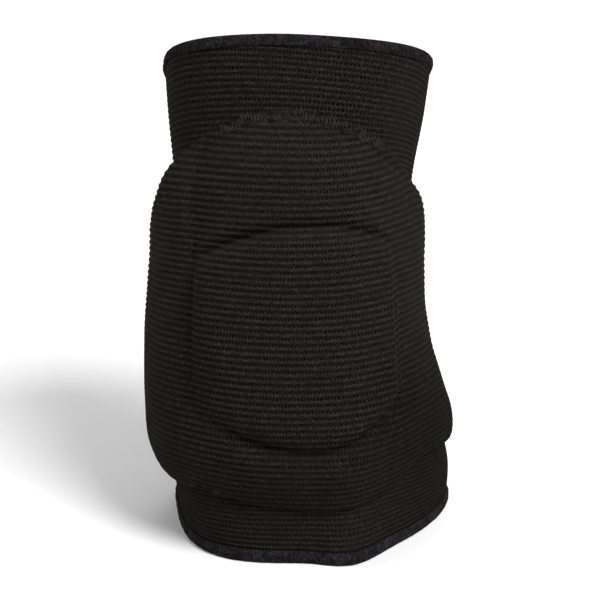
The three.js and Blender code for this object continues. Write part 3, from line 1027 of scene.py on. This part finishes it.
def knit_material():
    """Ribbed knit: slanted strokes along each rib, and in the valleys upright threads with holes between."""
    m = Material("ribbed_knit")
    place = m.place()

    # The rows wander a little, and each starts elsewhere
    rib = m.uv(1) + (m.noise(place, 520.0) - 0.5) * 0.30
    row = rib.math("ROUND")
    stitch = m.uv(0) + (m.noise(place, 260.0) - 0.5) * 1.8
    stitch = stitch + row * 0.31 + m.random(row, 3.0) * 0.8

    # Strokes on the crest, threads and holes in the valley, in ribs and stitches
    off_row = rib - row
    tooth = stitch.math("PINGPONG", 0.5)
    off_stroke = abs((tooth - 0.25) * 0.70 + off_row)
    stroke = off_stroke.soft_step(0.18, 0.02)
    thread = tooth.soft_step(0.34, 0.12)
    gap = (1 - thread) * abs(off_row).soft_step(0.16, 0.34)
    half_stitch = m.random((stitch * 2.0).math("FLOOR"), row)
    fibre = m.noise(place, 2900.0).soft_step(0.30, 0.70)
    fuzz = m.noise(place, 1500.0, 1.0).soft_step(0.35, 0.70)
    height = stroke - gap * 0.45 + fibre * 0.35

    # Painted shade: the strokes are full in front and above, and fade towards the sides and the hem, where
    # less light falls on the ribs
    beside = abs(stitch).soft_step(36.0, 54.0)
    # painted shade of the ribs' relief, 1 where fully lit
    painted_lighting = (rib.soft_step(6.0, 30.0) * 0.60 + 0.40) * (1 - beside * 0.40)
    valley = fuzz * 0.16 + 0.39 - gap * (half_stitch * 0.10 + 0.38)
    crest = (half_stitch**2.5 - 0.28) * (painted_lighting * 1.25) + 0.7
    stroke = (stroke - 0.35) * painted_lighting + 0.35
    shade = (crest - valley) * stroke + valley

    # Fibres and soft patches; then painted shade: a lower part, a lower right and a top that are darker
    shade = shade * (fibre * 1.25 + 0.37)
    shade = shade * (m.noise(place, 30.0) * 0.4 + 0.80)
    # painted shade: darker towards the lower part
    shade = shade * (rib.soft_step(6.0, 48.0) * 0.24 + 0.82)
    # painted shadow on the lower right, under the right wing
    right = stitch.soft_step(0.0, 40.0) * stitch.soft_step(102.0, 66.0)
    shade = shade * (1 - right * rib.soft_step(38.0, 16.0) * 0.36)
    # painted shade: darker at the top
    shade = shade * (1 - rib.soft_step(60.0, 84.0) * 0.16)
    return m.finish({
        "Base Color": m.mix(shade.math("MINIMUM", 1.0), KNIT_DARK, KNIT_LIGHT),
        "Normal": m.bump(height, 0.7, 0.0004),
        "Roughness": 0.9,
        "Specular IOR Level": 0.012,
    })


def tape_material():
    """Folded tape: a rough face of fine loops, in two close tints."""
    m = Material("folded_tape")
    place = m.place()
    fibre = m.noise(place, 1500.0, 3.0).soft_step(0.35, 0.68)
    loops = m.noise(place, 650.0).soft_step(0.35, 0.68)
    cord = (m.uv(0) * TAPE_CORDS * (2 * math.pi)).math("COSINE") * 0.5 + 0.5
    height = fibre * 0.5 + cord * 0.2 + loops
    shade = fibre * 0.45 + loops * 0.35 + cord * 0.10
    shade = shade * (m.noise(place, 120.0) * 1.4 + 0.3)
    tint = m.mix(m.noise(place, 75.0, 1.0).soft_step(0.40, 0.62), TAPE_LIGHT, TAPE_WARM)
    return m.finish({
        "Base Color": m.mix(shade.math("MINIMUM", 1.0), TAPE_DARK, tint),
        "Normal": m.bump(height, 0.7, 0.0004),
        "Roughness": 0.85,
        "Specular IOR Level": 0.015,
    })


def sewing_material():
    """Fuzzy sewing thread, worn in places."""
    m = Material("sewing_thread")
    place = m.place()
    fibre = m.noise(place, 2200.0, 3.0)
    worn = m.noise(place, 420.0).soft_step(0.35, 0.68)
    return m.finish({
        "Base Color": m.mix(fibre * (worn * 1.7 + 0.25), SEWING_DARK, SEWING_LIGHT),
        "Normal": m.bump(fibre, 0.6, 0.0002),
        "Roughness": 0.8,
        "Specular IOR Level": 0.03,
    })


# Studio

def add_floor():
    """A pale floor that curves up into a pale wall behind."""
    half, front, back, top, bend = 3.0, -3.0, 2.2, 3.2, 1.0
    steps = 16
    outline = [(front, 0.0), (back - bend, 0.0)]
    for k in range(1, steps + 1):
        turn = math.pi / 2 * k / steps
        outline.append((back - bend + bend * math.sin(turn), bend - bend * math.cos(turn)))
    outline.append((back, top))
    points = np.array([(x, y, z) for y, z in outline for x in (-half, half)]) / MM
    index = np.arange(len(points)).reshape(-1, 2)
    floor = add_mesh("studio_floor", points, [grid_faces(index)])
    pale = Material("pale_floor").finish({
        "Base Color": FLOOR_COLOUR,
        "Roughness": 0.9,
        "Specular IOR Level": 0.1,
    })
    floor.data.materials.append(pale)


def aim(holder, target):
    """Turns a camera or light to face a point."""
    direction = Vector(target) - Vector(holder.location)
    holder.rotation_euler = direction.to_track_quat("-Z", "Y").to_euler()


def add_light(name, place, size, power):
    """A soft round light that faces the pad."""
    light = bpy.data.lights.new(name, "AREA")
    light.shape = "DISK"
    light.size = size
    light.energy = power
    holder = bpy.data.objects.new(name, light)
    holder.location = place
    aim(holder, LIGHT_TARGET)
    bpy.context.scene.collection.objects.link(holder)


def add_camera():
    """The photo's view: a long lens a metre away, a little to the left and above."""
    azimuth, elevation = math.radians(CAMERA_AZIMUTH), math.radians(CAMERA_ELEVATION)
    level = math.cos(elevation)
    look = np.array(LOOK_AT) + SHIFT
    back = np.array([math.sin(azimuth) * level, -math.cos(azimuth) * level, math.sin(elevation)])
    camera = bpy.data.cameras.new("camera")
    camera.sensor_width = 36.0
    camera.lens = camera.sensor_width * CAMERA_DISTANCE / VIEW_WIDTH
    camera.clip_end = 20.0
    holder = bpy.data.objects.new("camera", camera)
    holder.location = look * MM + back * CAMERA_DISTANCE
    aim(holder, look * MM)
    bpy.context.scene.collection.objects.link(holder)
    bpy.context.scene.camera = holder


def add_studio():
    """Floor, even light from all round, and three soft lights."""
    add_floor()
    world = bpy.data.worlds.new("studio")
    world.use_nodes = True
    world.node_tree.nodes["Background"].inputs[0].default_value = (1, 1, 1, 1)
    world.node_tree.nodes["Background"].inputs[1].default_value = WORLD_LIGHT
    bpy.context.scene.world = world
    for light in LIGHTS:
        add_light(*light)
    bpy.context.scene.view_settings.view_transform = "Standard"
    bpy.context.scene.view_settings.look = "None"


def dress(piece, material, slot, *nodes):
    """Gives a piece its material, its body and the nodes that it stands for. Its slot is not used."""
    piece.data.materials.append(material)
    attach(piece, BODY)
    if nodes:
        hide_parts(*nodes)


add_camera()
add_studio()

knit = knit_material()
tape = tape_material()
sewing = sewing_material()

cover = build_cover()
dress(cover, knit, "pad_knit", "upper_pad", "centre_pad", "lower_pad", "left_wing_pad", "right_wing_pad")
sleeve = build_sleeve()
dress(sleeve, knit, "sleeve_knit", "sleeve")
tapes = [build_tape("lower_tape", 0), build_tape("upper_tape", 1)]
dress(tapes[0], tape, "binding_tape", "bottom_binding")
dress(tapes[1], tape, "binding_tape", "top_binding")
for seam in SEAMS:
    dress(build_seam(*seam), sewing, "pad_knit")
